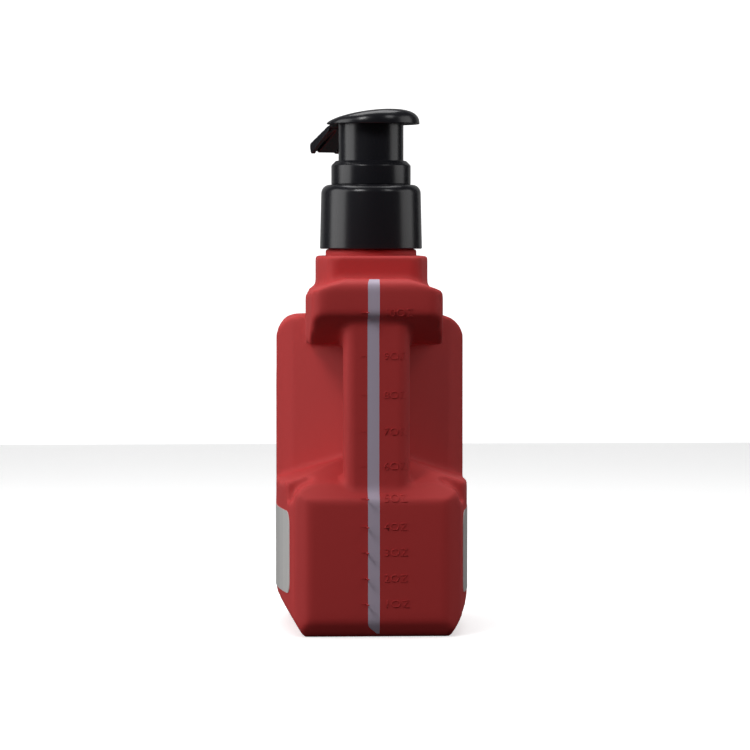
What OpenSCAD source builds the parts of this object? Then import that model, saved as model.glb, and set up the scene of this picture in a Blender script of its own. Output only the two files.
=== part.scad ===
// Small blow-moulded jug with a hollow side handle and a hand pump on its neck.
// +Z is up, Z = 0 is the plane that the jug stands on, and the handle is on the -Y side.
// The origin is the middle of the base.

/* [Jug] */
// Thickness of the jug across its two broad faces
body_w = 56.6; // [50:0.1:68]
// Length of the jug from the handle end to the far end
body_l = 78; // [65:0.1:94]
// Height of the shoulders
body_h = 92.2; // [76:0.1:112]
// How far the broad faces bow out from the end faces
face_bow = 4.2; // [3:0.1:5]
// Wall of the moulding
wall = 1.2; // [0.9:0.05:1.5]
// Height of the block below the handle
block_h = 44; // [36:0.1:48]
// How far the middle of the base is pushed up
push_up_h = 1.5; // [1:0.1:2]

/* [Handle] */
// Width of the handle
handle_w = 19.2; // [16:0.1:23.2]
// Depth of the handle, from its outer face to the finger side
handle_d = 10.5; // [9:0.1:12.6]
// How far the handle lies behind the end faces
handle_set = 3; // [2:0.1:4]
// Room for fingers between the handle and the body
grip_gap = 14.5; // [12:0.1:18]
// How far back the body's taper towards the handle starts
taper_l = 13; // [10:0.1:16]
// Width of the body where it faces the handle
nose_w = 14; // [12:0.1:18]
// Width of the bulge above the handle, at its end face
tier_w = 37.4; // [31:0.1:45]
// How much wider the bulge is at its middle
tier_flare = 3; // [2:0.1:4]

/* [View stripe] */
// Width of the clear stripe down the handle side
stripe_w = 3.4; // [2.8:0.1:4.2]
// Where the stripe's right edge lies, beside the mould's parting line
stripe_edge = 0.6; // [0:0.1:1]

/* [Labels] */
// Thickness of a label
label_t = 0.15; // [0.12:0.01:0.2]

/* [Neck and closure] */
// Wall of the neck below its thread
neck_wall = 1.2; // [1:0.05:1.6]
// Length of the neck above its shoulder
neck_len = 17; // [15:0.1:20.4]
// Width of the shoulder that carries the neck, at its narrow end
shoulder_w = 26.8; // [24:0.1:30]
// How much wider the shoulder is round the neck
shoulder_flare = 5.8; // [5:0.1:8]
// Height of the thread's ridge
thread_h = 1.1; // [0.9:0.05:1.3]
// Lead of the thread in one turn
thread_pitch = 4.233; // [3.6:0.001:5]
// Distance from the body's nose behind the handle to the neck's axis
neck_set = 11; // [10.6:0.1:13]
// Wall of the closure at its thread
closure_wall = 1.3; // [1.1:0.05:1.6]
// Depth of the closure's top panel
closure_top = 1.75; // [1.5:0.05:2.1]

/* [Pump] */
// Travel of the plunger
stroke = 9; // [7:0.1:9.4]
// Outer diameter of the actuator's skirt
skirt_d = 19.4; // [16.1:0.1:23.2]
// Height of the actuator from the skirt's lower edge to its top
head_h = 17; // [15:0.1:20.4]
// Height of the lock ring above the closure
ring_h = 7.05; // [6:0.05:8]
// Bore of the pump barrel
barrel_bore = 12.8; // [11:0.1:15.36]
// Length of the pump barrel below its cup
barrel_len = 35; // [32:0.1:42]
// Outer diameter of the stem
stem_d = 7.6; // [6.8:0.1:9.1]
// Outer diameter of the dip tube
tube_d = 5.8; // [4.8:0.1:6.6]
// Diameter of the inlet ball
ball_d = 4.6; // [4:0.1:4.8]
// Rise of the inlet ball
ball_rise = 1.5; // [1:0.1:2]
// Wire of the return spring
spring_wire = 0.9; // [0.7:0.05:1.1]
// Turns of the return spring
spring_turns = 8; // [6:0.5:9]

/* [Actuator] */
// Diameter of the finger pad
pad_d = 29.2; // [27:0.1:32]
// Reach of the spout from the pump's axis
spout_reach = 25.5; // [22:0.1:30.6]
// Width of the spout at its tip
spout_w = 10; // [9:0.1:12]
// Way that the spout points, from +X towards +Y
spout_turn = 123; // [0:1:359]
// Wall of the actuator
head_wall = 1.2; // [1:0.05:1.3]

/* [Hidden] */
$fn = 64;

// Clearances
slide_gap = 0.05;   // radial, between parts that slide or turn on each other
loose_gap = 0.25;   // radial, where nothing guides
stop_gap = 0.2;     // axial, short of an end stop
face_gap = 0.05;    // axial, between faces that turn on each other
seam_gap = 0.02;    // axial, between the spring and its seats

// Walls of the pump's thin mouldings
cup_wall = 0.6;
ring_wall = 0.7;
tube_wall = 0.7;
stem_wall = 1.4;
barrel_wall = 1;
web = 1;
well_gap = 0.15;
cup_gap = 0.2;

// Jug, along Y
front = -body_l / 2;
back = body_l / 2;
handle_front = front + handle_set;
handle_back = handle_front + handle_d;
nose_y = handle_back + grip_gap;
corner_y = nose_y + taper_l;
neck_y = nose_y + neck_set;
// Jug, across X
half_w = body_w / 2;
end_half = half_w - face_bow;
foot_in = 2.8;
foot_h = 4.6;
bow_rise = 5.9;
// Jug, up Z
ledge_h = block_h + 5.3;
tier_edge = body_h + 1.3;
tier_under = body_h - 8;
tier_top = body_h + 11.8;
tier_mid = (tier_w + tier_flare) / 2;
base_top = body_h + 17.8;
neck_top = base_top + neck_len;
floor_z = push_up_h + wall;

// Pump, across: each part is as large as the one inside it needs
skirt_r = skirt_d / 2;
skirt_in = skirt_r - head_wall;
well_r = skirt_r + well_gap;
ring_low_r = well_r + ring_wall;
ring_out = ring_low_r + 1.3;
cup_in = ring_low_r + slide_gap;
cup_out = cup_in + cup_wall;
neck_bore = 2 * (cup_out + cup_gap);

// Neck and closure
neck_r = neck_bore / 2 + neck_wall;
bead_r = neck_r + 0.95;
bead_h = 1.9;
shoulder_mid = max((shoulder_w + shoulder_flare) / 2, bead_r + 1);
thread_r = neck_r + thread_h;
closure_in = thread_r + loose_gap;
closure_out = closure_in + closure_wall;
closure_lip = base_top + bead_h + 0.1;
gasket_t = 1;
flange_t = 1.3;
flange_z = neck_top + gasket_t;
panel_z = flange_z + flange_t + face_gap;
closure_z = panel_z + closure_top;

// Pump, from the neck down and up
cup_floor = flange_z - 1.2;
ring_z = closure_z + face_gap;
ring_top = ring_z + ring_h;
ring_chamfer = 1.4;
well_floor = cup_floor + web;
skirt_z = well_floor + stop_gap + stroke;
stem_r = stem_d / 2;
stem_bore = stem_r - stem_wall;
guide_h = 5.2;
barrel_r = barrel_bore / 2;
barrel_out = barrel_r + barrel_wall;
barrel_z = cup_floor - web - barrel_len;
ball_r = ball_d / 2;
tube_r = tube_d / 2;
tube_in = tube_r - tube_wall;
seat_hole = 1.2;
seat_h = ball_r - 0.3;
ball_z = barrel_z - seat_h + ball_r * sqrt(2) - seat_hole + slide_gap;
socket_len = 7;
retainer_z = ball_z + ball_r + ball_rise + 0.1;
spring_low = retainer_z + web;
collar_z = cup_floor - stop_gap;
collar_h = 3.6;
piston_gap = 1;
piston_h = 4;
piston_z = collar_z - collar_h - piston_gap - piston_h;
plug_z = piston_z - web - slide_gap;
plug_pin = 7;
spring_r = barrel_r - 1 - spring_wire / 2;
seat_z = barrel_z - seat_h;
socket_z = seat_z - web;

// Actuator
head_top = skirt_z + head_h;
pad_r = pad_d / 2;
rim_z = -5;
spout_drop = -13.4;
stem_top = head_top - 5.4;
boss_z = stem_top - 5;
boss_r = stem_r + 1.4;

// ---- Outlines: a list of corners [x, y, radius], anticlockwise ----
function unit(v) = v / norm(v);
function spun(v, a) = [v.x * cos(a) - v.y * sin(a), v.x * sin(a) + v.y * cos(a)];
function spot(p) = [p[0], p[1]];
function inner_side(a, b) = let (d = unit(b - a)) [-d.y, d.x];
function bend(a, b, c) = cross(b - a, c - b);

// A corner moved inwards by t, with its radius changed to keep the wall even
function moved_corner(a, b, c, r, t) =
    let (m = inner_side(a, b), n = inner_side(b, c), q = b + t * (m + n) / (1 + m * n))
    [q.x, q.y, r <= 0 ? 0 : max(r - t * sign(bend(a, b, c)), 0)];
function inset(p, t) =
    let (n = len(p))
    [for (i = [0:n - 1])
        moved_corner(spot(p[(i + n - 1) % n]), spot(p[i]), spot(p[(i + 1) % n]), p[i][2], t)];

// The arc that rounds corner b, in a few straight steps
function arc_corner(a, b, c, r, steps) =
    let (u = unit(a - b), w = unit(c - b), half = acos(u * w) / 2)
    r < 0.05 || half > 89 ? [b] :
    let (mid = b + unit(u + w) * r / sin(half), start = b + u * r / tan(half) - mid)
    [for (i = [0:steps]) mid + spun(start, sign(bend(a, b, c)) * (180 - 2 * half) * i / steps)];
function rounded(p, steps = 4) =
    let (n = len(p))
    [for (i = [0:n - 1])
        each arc_corner(spot(p[(i + n - 1) % n]), spot(p[i]), spot(p[(i + 1) % n]), p[i][2], steps)];
function flipped(p) = [for (i = [len(p) - 1:-1:0]) [-p[i][0], p[i][1], p[i][2]]];
function both_sides(p) = concat(p, flipped(p));

// ---- Prisms along each axis ----
module along_z(p, z0, z1) translate([0, 0, z0]) linear_extrude(z1 - z0) polygon(rounded(p));
module along_y(p) rotate([90, 0, 0]) linear_extrude(400, center = true) polygon(rounded(p));
module along_x(p, w = 400) rotate([90, 0, 90]) linear_extrude(w, center = true) polygon(rounded(p));
module ring(z0, z1, r_in, r_out) {
    rotate_extrude() polygon([[r_in, z0], [r_out, z0], [r_out, z1], [r_in, z1]]);
}
module at_neck() translate([0, neck_y, 0]) children();

// ---- Sweeps round the Z axis: rings of points joined by triangles ----
function sweep_faces(rings, sides) = concat(
    [[for (k = [sides - 1:-1:0]) k]],
    [[for (k = [0:sides - 1]) (rings - 1) * sides + k]],
    [for (i = [0:rings - 2]) for (k = [0:sides - 1])
        let (a = i * sides + k, b = i * sides + (k + 1) % sides)
        each [[a, b, b + sides], [a, b + sides, a + sides]]]
);
function around(r, a, z) = [r * cos(a), r * sin(a), z];

// Screw ridge from root radius r0 to crest radius r1, faded in and out at its ends
module screw_ridge(r0, r1, z0, turns, root_w = 2, crest_w = 1) {
    step = 12;
    n = round(turns * 360 / step);
    fade = 4;
    points = [for (i = [0:n])
        let (a = i * step)
        let (z = z0 + thread_pitch * a / 360)
        let (full = min(1, (i + 0.2) / fade, (n - i + 0.2) / fade))
        let (crest = r0 + (r1 - r0) * full, sink = r0 - sign(r1 - r0) * 0.4)
        each (r1 > r0
            ? [around(sink, a, z - root_w / 2), around(crest, a, z - crest_w / 2),
                around(crest, a, z + crest_w / 2), around(sink, a, z + root_w / 2)]
            : [around(sink, a, z + root_w / 2), around(crest, a, z + crest_w / 2),
                around(crest, a, z - crest_w / 2), around(sink, a, z - root_w / 2)])];
    polyhedron(points, sweep_faces(n + 1, 4), convexity = 8);
}

// ---- Jug: the same forms give its outside at t = 0 and its hollow at t = wall ----
bow_steps = 10;
function bow_x(y) = half_w - face_bow * pow(y / (back - foot_in), 2);
function plan(t) =
    let (end_y = back - 2.9)
    inset(concat(
        [[end_half - 4, front, 4], [end_half, front + 2.9, 2]],
        [for (i = [1:bow_steps - 1]) let (y = -end_y + 2 * end_y * i / bow_steps) [bow_x(y), y, 0]],
        [[end_half, back - 6, 5], [end_half - 6, back, 6], [-end_half + 6, back, 6], [-end_half, back - 6, 5]],
        [for (i = [bow_steps - 1:-1:1]) let (y = -end_y + 2 * end_y * i / bow_steps) [-bow_x(y), y, 0]],
        [[-end_half, front + 2.9, 2], [-end_half + 4, front, 4]]
    ), t);
function across(t) = inset(both_sides([
    [end_half - foot_in, 0, 0], [end_half, foot_h, 3], [half_w, foot_h + bow_rise, 4], [half_w, body_h, 7.8]
]), t);
function lengthwise(t) = inset([
    [front + foot_in, 0, 0], [back - foot_in, 0, 0], [back, foot_h, 3], [back, body_h, 10], [front, body_h, 0],
    [front, foot_h, 3]
], t);
function grip_plan(t) = inset([
    [-half_w - 20, front - 20, 0], [half_w + 20, front - 20, 0], [half_w + 20, corner_y + 30, 0],
    [half_w - 1.2, corner_y + 4, 12], [half_w - 4.6, corner_y - 1, 4], [nose_w / 2, nose_y, 3],
    [-nose_w / 2, nose_y, 3], [-half_w + 4.6, corner_y - 1, 4], [-half_w + 1.2, corner_y + 4, 12],
    [-half_w - 20, corner_y + 30, 0]
], -t);
function ledge(t) = inset([
    [front - 20, block_h - 30, 0], [front + 0.3, block_h - 4, 4], [front + 5, block_h + 0.2, 4],
    [nose_y, ledge_h + 1.4, 3], [corner_y + 20, ledge_h + 8, 0], [corner_y + 20, body_h + 20, 0],
    [front - 20, body_h + 20, 0]
], -t);
function ledge_roof(t) = inset([
    [half_w + 20, ledge_h - 13, 0], [half_w + 20, body_h + 20, 0], [-half_w - 20, body_h + 20, 0],
    [-half_w - 20, ledge_h - 13, 0], [-nose_w / 2, ledge_h + 1.6, 3], [nose_w / 2, ledge_h + 1.6, 3]
], -t);

module body_form(t) {
    intersection() {
        along_z(plan(t), -5, body_h + 5);
        along_y(across(t));
        along_x(lengthwise(t));
    }
}
module grip_cut(t) {
    intersection() {
        along_z(grip_plan(t), block_h - 40, body_h + 10);
        union() {
            along_x(ledge(t));
            along_y(ledge_roof(t));
        }
    }
}
module tier_form(t) {
    intersection() {
        along_z(inset([
            [-tier_w / 2, front, 4], [tier_w / 2, front, 4], [tier_mid, front + 20, 8],
            [shoulder_mid, back - 4, 8], [-shoulder_mid, back - 4, 8], [-tier_mid, front + 20, 8]
        ], t), body_h - 20, body_h + 30);
        along_y(inset(both_sides([
            [tier_mid + 4, body_h - 15, 0], [tier_mid + 4, body_h + 3, 0], [tier_w / 2 - 0.3, body_h + 8, 4],
            [tier_w / 4, tier_top - 0.6, 8]
        ]), t));
        along_x(inset([
            [front, tier_edge, 1.5], [front + 11, tier_under, 1.5], [back - 8, tier_under, 0],
            [back - 6, body_h - 2, 3], [neck_y + 17, tier_top - 1, 8], [front, tier_top - 0.6, 3]
        ], t));
    }
}
module handle_form(t) {
    along_z(inset([
        [-handle_w / 2, handle_front, 3.2], [handle_w / 2, handle_front, 3.2],
        [handle_w / 2, handle_back, 3.5], [-handle_w / 2, handle_back, 3.5]
    ], t), block_h - 6, tier_edge + 3);
}
module neck_base_form(t) {
    at_neck() intersection() {
        along_z(inset([
            [-shoulder_w / 2, -24, 3], [shoulder_w / 2, -24, 3], [shoulder_mid, -10, 5], [shoulder_mid, 11, 6],
            [10, 18, 5], [-10, 18, 5], [-shoulder_mid, 11, 6], [-shoulder_mid, -10, 5]
        ], t), body_h - 2, base_top + 5);
        along_y(inset(both_sides([[shoulder_mid + 4, body_h - 9, 0], [shoulder_mid + 4, base_top, 5]]), t));
    }
}
module jug_form(t) {
    difference() {
        body_form(t);
        grip_cut(t);
    }
    tier_form(t);
    handle_form(t);
    neck_base_form(t);
}
module push_up(t) {
    along_z(inset([
        [-end_half + 7, front + 7, 6], [end_half - 7, front + 7, 6], [end_half - 7, back - 7, 6],
        [-end_half + 7, back - 7, 6]
    ], -t), -1, push_up_h + t);
}
module neck_finish() {
    at_neck() {
        translate([0, 0, base_top - 2]) cylinder(r = neck_r, h = neck_len + 2);
        translate([0, 0, base_top - 2]) cylinder(r = bead_r, h = bead_h + 2);
        screw_ridge(neck_r, thread_r, base_top + 5, 1.5);
    }
}
module jug_shell() {
    difference() {
        union() {
            jug_form(0);
            neck_finish();
        }
        difference() {
            jug_form(wall);
            push_up(wall);
        }
        push_up(0);
        at_neck() translate([0, 0, base_top - 5]) cylinder(d = neck_bore, h = neck_len + 10);
    }
}
module stripe_zone() {
    translate([stripe_edge - stripe_w, front - 10, foot_h])
        cube([stripe_w, 10 + handle_set + wall + 0.1, tier_top - foot_h]);
}
module bottle() color("firebrick") difference() {
    jug_shell();
    stripe_zone();
}
module view_stripe() color("thistle") intersection() {
    jug_shell();
    stripe_zone();
}

// Label on the +X face: a low panel with a taller part behind the taper
label_y = back - 8;
module label_on_right() color("whitesmoke") intersection() {
    difference() {
        body_form(-label_t);
        body_form(0);
    }
    translate([half_w, 0, 0]) along_x([
        [-label_y, foot_h + bow_rise + 1.5, 3], [label_y, foot_h + bow_rise + 1.5, 3],
        [label_y, body_h - 14, 6], [corner_y + 8, body_h - 14, 6], [corner_y + 8, block_h - 8, 4],
        [-label_y, block_h - 8, 4]
    ], body_w);
}
module right_label() label_on_right();
module left_label() mirror([1, 0, 0]) label_on_right();

// ---- Closure and pump, all on the neck's axis ----
module closure() color([0.06, 0.06, 0.07]) at_neck() {
    r_top = closure_out - 0.45;
    difference() {
        rotate_extrude() polygon(rounded([
            [ring_low_r + loose_gap, closure_lip, 0], [closure_out, closure_lip, 0.3], [r_top, closure_z, 2.6],
            [ring_low_r + loose_gap, closure_z, 0]
        ], 8));
        translate([0, 0, closure_lip - 1]) cylinder(r = closure_in, h = panel_z - closure_lip + 1);
    }
    screw_ridge(closure_in, neck_r + 0.15, base_top + 5 + thread_pitch / 2, 1.5);
}
module neck_gasket() color("white") at_neck() ring(neck_top, flange_z, cup_out + slide_gap, neck_r - 0.1);

module lock_ring() color([0.05, 0.05, 0.06]) at_neck() {
    bore = stem_r + slide_gap;
    rotate_extrude() polygon([
        [bore, cup_floor], [ring_low_r, cup_floor], [ring_low_r, ring_z], [ring_out, ring_z],
        [ring_out, ring_top - ring_chamfer], [ring_out - ring_chamfer, ring_top], [well_r, ring_top],
        [well_r, well_floor], [bore + 1, well_floor],
        [bore + 1, well_floor + guide_h], [bore, well_floor + guide_h]
    ]);
}
module pump_housing() color("gainsboro") at_neck() {
    vent_z = cup_floor - 4;
    difference() {
        rotate_extrude() polygon([
            [barrel_r, cup_floor], [barrel_r, barrel_z], [seat_hole + seat_h, barrel_z], [seat_hole, seat_z],
            [seat_hole, socket_z], [tube_r, socket_z], [tube_r, socket_z - socket_len],
            [tube_r + 1, socket_z - socket_len], [tube_r + 1, socket_z],
            [barrel_out, barrel_z - 1], [barrel_out, cup_floor - web], [cup_out, cup_floor - web],
            [cup_out, flange_z], [neck_r, flange_z], [neck_r, flange_z + flange_t],
            [cup_in, flange_z + flange_t], [cup_in, cup_floor]
        ]);
        translate([0, 0, vent_z]) rotate([0, 90, 0]) cylinder(d = 1.2, h = barrel_out + 5);
    }
}
module ball_retainer() color("white") at_neck() {
    legs = 4;
    difference() {
        ring(barrel_z, spring_low, 1.3, barrel_r - slide_gap);
        translate([0, 0, barrel_z - 1]) cylinder(r = ball_r + 0.7, h = retainer_z - barrel_z + 1);
        for (i = [0:legs - 1]) rotate(i * 360 / legs) {
            translate([ball_r + 0.6, -0.9, barrel_z - 1]) cube([barrel_r, 1.8, retainer_z - barrel_z]);
            translate([ball_r + 0.9, 0, barrel_z]) cylinder(d = 1.2, h = spring_low);
        }
    }
}
module inlet_ball() color("silver") at_neck() translate([0, 0, ball_z]) sphere(r = ball_r);
module dip_tube() color("white") at_neck()
    ring(floor_z + 1.6, socket_z, tube_in, tube_r);

// Return spring, with one closed turn at each end
module return_spring() color("lightsteelblue") at_neck() {
    sides = 8;
    step = 18;
    n = round(spring_turns * 360 / step);
    wire_r = spring_wire / 2;
    low = spring_low + wire_r + seam_gap;
    high = plug_z - wire_r - seam_gap;
    close = spring_wire * 1.08;
    open = (high - low - 2 * close) / (spring_turns - 2);
    points = [for (i = [0:n])
        let (k = i * step / 360, z = low + min(k, 1) * close
            + min(max(k - 1, 0), spring_turns - 2) * open + max(k - spring_turns + 1, 0) * close)
        for (j = [0:sides - 1])
            around(spring_r + wire_r * cos(j * 360 / sides), i * step, z + wire_r * sin(j * 360 / sides))];
    polyhedron(points, sweep_faces(n + 1, sides), convexity = 12);
}

// Piston with a wiping lip at each end; it slips a little on the stem to open the ports
module piston_seal() color("white") at_neck() {
    lip = barrel_r - slide_gap;
    bore = stem_r + slide_gap;
    rotate_extrude() polygon([
        [bore, piston_z + 0.1], [lip - 1.2, piston_z + 0.1], [lip, piston_z], [lip, piston_z + 0.6],
        [lip - 0.8, piston_z + 1.4], [lip - 0.8, piston_z + piston_h - 1.4], [lip, piston_z + piston_h - 0.6],
        [lip, piston_z + piston_h], [lip - 1, piston_z + piston_h - 0.6], [bore, piston_z + piston_h - 0.6]
    ]);
}
module stem_plug() color("white") at_neck() {
    difference() {
        union() {
            translate([0, 0, plug_z]) cylinder(r = barrel_r - 0.9, h = web);
            translate([0, 0, plug_z]) cylinder(r = stem_bore, h = web + plug_pin);
        }
        for (a = [0, 90]) rotate(a)
            translate([-stem_bore - 1, -0.5, plug_z + web + 2.2]) cube([2 * stem_bore + 2, 1, 6]);
    }
}
module stem() color("gainsboro") at_neck() {
    port_z = piston_z + 1.6;
    difference() {
        rotate_extrude() polygon([
            [stem_bore, plug_z + web], [stem_r, plug_z + web], [stem_r, collar_z - collar_h],
            [stem_r + 0.9, collar_z - collar_h], [stem_r + 0.9, collar_z], [stem_r, collar_z],
            [stem_r, stem_top], [stem_bore, stem_top]
        ]);
        for (a = [0, 90]) translate([0, 0, port_z + 2])
            rotate([90, 0, a]) cylinder(d = 1.2, h = stem_d + 2, center = true);
    }
}

// ---- Actuator, drawn with its spout along +X and its top at Z = 0 ----
tip = spout_reach;
function roof() = [
    [tip, spout_drop + 1.6, 1.2], [tip - 2, spout_drop + 3, 1.6], [pad_r + 0.2, rim_z, 0.4],
    [pad_r + 0.1, -3.2, 1.5], [0, 0.1, 20],
    [-9, -0.4, 6], [-pad_r + 0.7, -2.6, 2]
];
function head_side(t) = inset(concat(
    [[-pad_r - 0.4, rim_z, 0], [11.9, rim_z, 0], [13.6, rim_z - 1.9, 0],
     [tip - 2.2, spout_drop, 0], [tip, spout_drop, 0]],
    roof()
), t);
function head_space_side(t) = inset(concat([[-pad_r - 0.4, -40, 0], [tip, -40, 0]], roof()), t);
function head_end(t) = inset(both_sides([
    [pad_r, -40, 0], [pad_r, -3.6, 0], [pad_r - 2, -1.1, 2.5], [pad_r - 8, 0.2, 6]
]), t);
module head_plan(t) translate([0, 0, -60]) linear_extrude(80) {
    circle(r = pad_r - t);
    polygon(rounded(inset([[0, -7, 0], [tip, -spout_w / 2, 2.2], [tip, spout_w / 2, 2.2], [0, 7, 0]], t)));
}
module head_space(t) {
    intersection() {
        along_y(head_space_side(t));
        along_x(head_end(t));
    }
}
module duct(half, t) {
    intersection() {
        rotate([90, 0, 0]) linear_extrude(2 * half, center = true) polygon(rounded(inset([
            [-2.6, rim_z - 0.3, 0], [12, rim_z - 0.3, 0], [pad_r + 0.3, rim_z - 3.2, 0],
            [tip - 3.4, spout_drop + 0.6, 0], [tip - 1, spout_drop + 0.6, 0], [tip - 1, spout_drop + 5, 0],
            [pad_r, -1, 0], [-2.6, -1, 0]
        ], t)));
        head_space(0.5 + t);
    }
}
module actuator() color([0.05, 0.05, 0.06]) at_neck() translate([0, 0, head_top]) rotate(spout_turn) {
    difference() {
        union() {
            difference() {
                intersection() {
                    head_plan(0);
                    along_y(head_side(0));
                    along_x(head_end(0));
                }
                intersection() {
                    head_plan(head_wall);
                    head_space(head_wall);
                }
            }
            duct(3, 0);
            intersection() {
                head_space(0.5);
                union() {
                    ring(skirt_z - head_top, 1, skirt_in, skirt_r);
                    translate([0, 0, boss_z - head_top]) cylinder(r = boss_r, h = head_top - boss_z + 1);
                }
            }
        }
        duct(1.9, 0.8);
        translate([tip - 3.1, -1.9, spout_drop - 1]) cube([1.3, 3.8, 3]);
        translate([0, 0, boss_z - head_top - 1])
            cylinder(r = stem_r + slide_gap, h = stem_top - boss_z + 1 + stop_gap);
        translate([0, 0, stem_top - head_top - 0.1]) cylinder(r = 1.8, h = 2.6);
    }
}

bottle();
view_stripe();
left_label();
right_label();
closure();
neck_gasket();
lock_ring();
pump_housing();
ball_retainer();
inlet_ball();
dip_tube();
return_spring();
piston_seal();
stem_plug();
stem();
actuator();
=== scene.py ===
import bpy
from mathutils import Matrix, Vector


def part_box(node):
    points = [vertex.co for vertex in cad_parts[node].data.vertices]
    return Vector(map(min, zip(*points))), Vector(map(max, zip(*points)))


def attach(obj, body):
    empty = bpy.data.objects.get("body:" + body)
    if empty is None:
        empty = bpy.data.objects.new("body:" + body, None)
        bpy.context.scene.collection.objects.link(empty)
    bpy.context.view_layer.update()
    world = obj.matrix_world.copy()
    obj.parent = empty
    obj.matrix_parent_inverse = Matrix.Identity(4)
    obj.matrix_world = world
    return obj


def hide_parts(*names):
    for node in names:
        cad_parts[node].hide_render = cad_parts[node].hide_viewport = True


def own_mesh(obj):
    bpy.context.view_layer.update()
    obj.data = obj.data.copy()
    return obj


bl_info = {
    "name": "Pump jug",
    "version": (1, 0, 0),
    "blender": (4, 5, 0),
    "location": "View3D > Sidebar > Pump jug",
    "description": "Models a small blow-moulded jug with a hand pump around its packed parts",
    "category": "Object",
}

import math

import bmesh
import bpy
from bpy.props import FloatProperty, FloatVectorProperty, IntProperty, PointerProperty
from mathutils import Vector

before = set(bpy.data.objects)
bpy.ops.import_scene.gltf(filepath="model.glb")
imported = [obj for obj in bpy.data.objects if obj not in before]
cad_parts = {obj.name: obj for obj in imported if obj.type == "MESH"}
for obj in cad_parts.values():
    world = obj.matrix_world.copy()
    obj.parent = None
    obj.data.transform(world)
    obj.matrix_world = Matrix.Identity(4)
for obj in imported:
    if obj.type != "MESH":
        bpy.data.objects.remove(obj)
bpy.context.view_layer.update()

MM = 0.001
UP = Vector((0, 0, 1))


def edge(node, side, axis):
    """A node's lowest (side 0) or highest (side 1) place along an axis, in millimetres."""
    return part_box(node)[side][axis] / MM


def middle(node):
    """The middle of a node's box, in millimetres."""
    lowest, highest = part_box(node)
    return (lowest + highest) / 2 / MM


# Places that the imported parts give, in millimetres
FRONT = edge("bottle", 0, 1)
BACK = edge("bottle", 1, 1)
HALF_W = edge("bottle", 1, 0)
NECK = middle("lock_ring")
NECK_TOP = edge("bottle", 1, 2)
SKIRT_Z = edge("actuator", 0, 2)
HEAD_TOP = edge("actuator", 1, 2)


# ---- Sizes and colours that a user would change ----
def length(name, text, default_mm):
    """A length property whose default is given in millimetres."""
    return FloatProperty(name=name, description=text, default=default_mm * MM, unit="LENGTH", precision=5)


def colour(name, text, default):
    """A colour property."""
    return FloatVectorProperty(
        name=name, description=text, default=default, size=3, min=0, max=1, subtype="COLOR"
    )


def turn(name, text, default_degrees):
    """An angle property whose default is given in degrees."""
    return FloatProperty(name=name, description=text, default=math.radians(default_degrees), subtype="ANGLE")


def power(name, text, default_watts):
    """The power of a light."""
    return FloatProperty(name=name, description=text, default=default_watts, unit="POWER")


class JugSizes(bpy.types.PropertyGroup):
    """Sizes of the moulded jug."""

    wall: length("Wall", "Wall of the moulding", 1.2)
    body_height: length("Shoulder height", "Height of the shoulders", 92.2)
    bow: length("Bow", "How far the broad faces bow out from the end faces", 4.2)
    block_height: length("Block height", "Height of the block below the handle", 44)
    handle_width: length("Handle width", "Width of the handle", 19.2)
    handle_depth: length("Handle depth", "Depth of the handle", 10.5)
    handle_set: length("Handle set-back", "How far the handle lies behind the end face", 3)
    grip_gap: length("Finger room", "Room between the handle and the body", 14.5)
    taper: length("Taper", "How far back the body's taper towards the handle starts", 13)
    nose_width: length("Nose width", "Width of the body where it faces the handle", 14)
    bulge_width: length("Bulge width", "Width of the bulge above the handle", 37.4)
    bulge_flare: length("Bulge flare", "How much wider the bulge is at its middle", 3)
    push_up: length("Push-up", "How far the base is pushed up", 1.5)
    skin_step: length("Skin step", "Size of the faces on the jug's outside", 0.8)
    inner_step: length("Inner step", "Size of the faces on the jug's inside", 1.7)
    softening: IntProperty(
        name="Softening", description="Passes that round the moulded edges", default=5, min=1
    )
    stripe_width: length("Stripe width", "Width of the clear view stripe", 3.4)
    stripe_edge: length("Stripe edge", "Where the stripe's right edge lies", 0.6)


class MarkSizes(bpy.types.PropertyGroup):
    """Sizes of the raised volume marks."""

    height: length("Figure height", "Height of the raised figures", 2.2)
    width: length("Figure width", "Width of one raised figure", 2.2)
    left: length("Figure place", "Where the figures start, to the right of the middle", 1.8)
    relief: length("Relief", "How far the marks stand out", 0.2)
    tick: length("Tick length", "Length of the line left of the stripe", 2)


class PumpSizes(bpy.types.PropertyGroup):
    """Sizes of the pump's outer mouldings."""

    closure_wall: length("Closure wall", "Wall of the closure", 1.3)
    closure_top: length("Closure top", "Depth of the closure's top panel", 1.75)
    closure_edge: length("Closure edge", "Radius of the closure's top edge", 2.6)
    throat: length("Throat", "Radius of the lock ring inside the closure", 10.55)
    ring_chamfer: length("Ring chamfer", "Chamfer of the lock ring's top edge", 1.4)
    skirt: length("Skirt radius", "Outer radius of the actuator's skirt", 9.7)
    stem: length("Stem radius", "Outer radius of the stem", 3.8)
    pad: length("Pad radius", "Radius of the finger pad", 13.9)
    pad_back: length("Pad offset", "How far the pad's middle lies behind the stem", 1)
    tilt: FloatProperty(name="Pad tilt", description="Fall of the pad towards the spout", default=0.198)
    rim: length("Rim depth", "Depth of the pad's lower edge below its top", 5)
    reach: length("Spout reach", "Reach of the spout from the stem", 25.5)
    drop: length("Spout drop", "Depth of the spout's tip below the pad's top", 13.4)
    tip_half: length("Tip half width", "Half the width of the spout's tip", 5)
    head_wall: length("Head wall", "Wall of the actuator", 1.2)
    head_step: length("Head step", "Size of the faces on the actuator", 0.22)
    spout_turn: turn("Spout turn", "Way the spout points", 123)


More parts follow.
